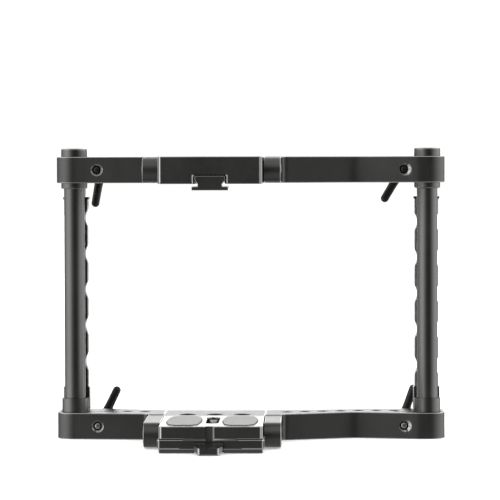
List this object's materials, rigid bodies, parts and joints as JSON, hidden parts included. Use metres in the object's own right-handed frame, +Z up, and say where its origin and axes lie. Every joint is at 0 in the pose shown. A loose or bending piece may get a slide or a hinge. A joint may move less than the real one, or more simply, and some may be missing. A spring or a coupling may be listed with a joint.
{
  "type": "camera cage",
  "caption": "Rectangular camera cage: two curved crossbars clamped on side posts, with a quick-release camera plate below and a sliding shoe foot above.",
  "frame": {"origin": "the middle of the base's underside, below the camera plate's slot", "axes": "+X towards the long arms, +Y towards the clamp levers, away from the side that the camera plate slides out of, +Z up"},
  "size_m": [0.207, 0.119, 0.1549],
  "materials": {
    "anodised": "satin black anodised",
    "plate": "satin black anodised, brushed lengthwise",
    "steel": "blackened, worn bright at edges",
    "lever": "fine matt black powder coat",
    "rubber": "matt, fine grain"
  },
  "bodies": {
    "base": {"base_left_arm": "anodised", "base_right_arm": "anodised", "base_block": "anodised", "base_left_front_leg_screw": "steel", "base_left_rear_leg_screw": "steel", "base_right_front_leg_screw": "steel", "base_right_rear_leg_screw": "steel"},
    "top_bar": {"top_left_arm": "anodised", "top_right_arm": "anodised", "top_block": "anodised", "top_left_front_leg_screw": "steel", "top_left_rear_leg_screw": "steel", "top_right_front_leg_screw": "steel", "top_right_rear_leg_screw": "steel"},
    "posts": {"left_tube": "anodised", "left_lower_sleeve": "anodised", "left_upper_sleeve": "anodised", "left_top_cap": "anodised", "left_side_bar": "anodised", "left_lower_bar_screw": "steel", "left_upper_bar_screw": "steel", "right_tube": "anodised", "right_lower_sleeve": "anodised", "right_upper_sleeve": "anodised", "right_top_cap": "anodised", "right_side_bar": "anodised", "right_lower_bar_screw": "steel", "right_upper_bar_screw": "steel"},
    "base_left_clamp": {"base_left_stud": "steel", "base_left_washer": "steel", "base_left_lever_screw": "steel", "base_left_lever_spring": "steel"},
    "base_left_lever": {"base_left_handle": "lever"},
    "base_right_clamp": {"base_right_stud": "steel", "base_right_washer": "steel", "base_right_lever_screw": "steel", "base_right_lever_spring": "steel"},
    "base_right_lever": {"base_right_handle": "lever"},
    "top_left_clamp": {"top_left_stud": "steel", "top_left_washer": "steel", "top_left_lever_screw": "steel", "top_left_lever_spring": "steel"},
    "top_left_lever": {"top_left_handle": "lever"},
    "top_right_clamp": {"top_right_stud": "steel", "top_right_washer": "steel", "top_right_lever_screw": "steel", "top_right_lever_spring": "steel"},
    "top_right_lever": {"top_right_handle": "lever"},
    "quick_plate": {"camera_plate": "plate", "left_pad": "rubber", "right_pad": "rubber", "button_spring": "steel"},
    "button": {"release_button": "anodised"},
    "slot_carriage": {"slot_washer": "steel"},
    "tie_screw": {"camera_screw": "steel", "screw_ring": "steel"},
    "shoe": {"shoe_foot": "anodised"},
    "shoe_lock": {"shoe_lock_screw": "steel"}
  },
  "joints": [
    {"name": "post_height", "type": "slide", "parent": "base", "child": "posts", "axis": [0, 0, 1], "range_m": [0, 0.005]},
    {"name": "top_height", "type": "slide", "parent": "posts", "child": "top_bar", "axis": [0, 0, 1], "range_m": [-0.0027, 0.003]},
    {"name": "base_left_turn", "type": "hinge", "parent": "base", "child": "base_left_clamp", "pos_m": [-0.0628, 0.069, 0.007], "axis": [0, 1, 0], "range_deg": [0, 75]},
    {"name": "base_left_lift", "type": "slide", "parent": "base_left_clamp", "child": "base_left_lever", "axis": [0, 1, 0], "range_m": [0, 0.0021], "stiffness_N_per_m": 700, "springref_m": -0.002, "deforming": ["base_left_lever_spring"]},
    {"name": "base_right_turn", "type": "hinge", "parent": "base", "child": "base_right_clamp", "pos_m": [0.1004, 0.069, 0.007], "axis": [0, 1, 0], "range_deg": [0, 75]},
    {"name": "base_right_lift", "type": "slide", "parent": "base_right_clamp", "child": "base_right_lever", "axis": [0, 1, 0], "range_m": [0, 0.0021], "stiffness_N_per_m": 700, "springref_m": -0.002, "deforming": ["base_right_lever_spring"]},
    {"name": "top_left_turn", "type": "hinge", "parent": "top_bar", "child": "top_left_clamp", "pos_m": [-0.0628, 0.069, 0.1434], "axis": [0, 1, 0], "range_deg": [0, 75]},
    {"name": "top_left_lift", "type": "slide", "parent": "top_left_clamp", "child": "top_left_lever", "axis": [0, 1, 0], "range_m": [0, 0.0021], "stiffness_N_per_m": 700, "springref_m": -0.002, "deforming": ["top_left_lever_spring"]},
    {"name": "top_right_turn", "type": "hinge", "parent": "top_bar", "child": "top_right_clamp", "pos_m": [0.1004, 0.069, 0.1434], "axis": [0, 1, 0], "range_deg": [0, 75]},
    {"name": "top_right_lift", "type": "slide", "parent": "top_right_clamp", "child": "top_right_lever", "axis": [0, 1, 0], "range_m": [0, 0.0021], "stiffness_N_per_m": 700, "springref_m": -0.002, "deforming": ["top_right_lever_spring"]},
    {"name": "plate_slide", "type": "slide", "parent": "base", "child": "quick_plate", "axis": [0, -1, 0], "range_m": [0, 0.045]},
    {"name": "button_press", "type": "slide", "parent": "quick_plate", "child": "button", "axis": [0, 1, 0], "range_m": [0, 0.0025], "stiffness_N_per_m": 500, "springref_m": -0.002, "deforming": ["button_spring"]},
    {"name": "slot_slide", "type": "slide", "parent": "quick_plate", "child": "slot_carriage", "axis": [0, -1, 0], "range_m": [0, 0.026]},
    {"name": "tie_screw_turn", "type": "hinge", "parent": "slot_carriage", "child": "tie_screw", "pos_m": [0, 0.0159, 0.008], "axis": [0, 0, 1], "continuous": true},
    {"name": "shoe_slide", "type": "slide", "parent": "top_bar", "child": "shoe", "axis": [0, 1, 0], "range_m": [0, 0.036]},
    {"name": "shoe_lock_turn", "type": "hinge", "parent": "top_bar", "child": "shoe_lock", "pos_m": [0, -0.014, 0.145], "axis": [0, 0, 1], "range_deg": [0, 360]}
  ]
}
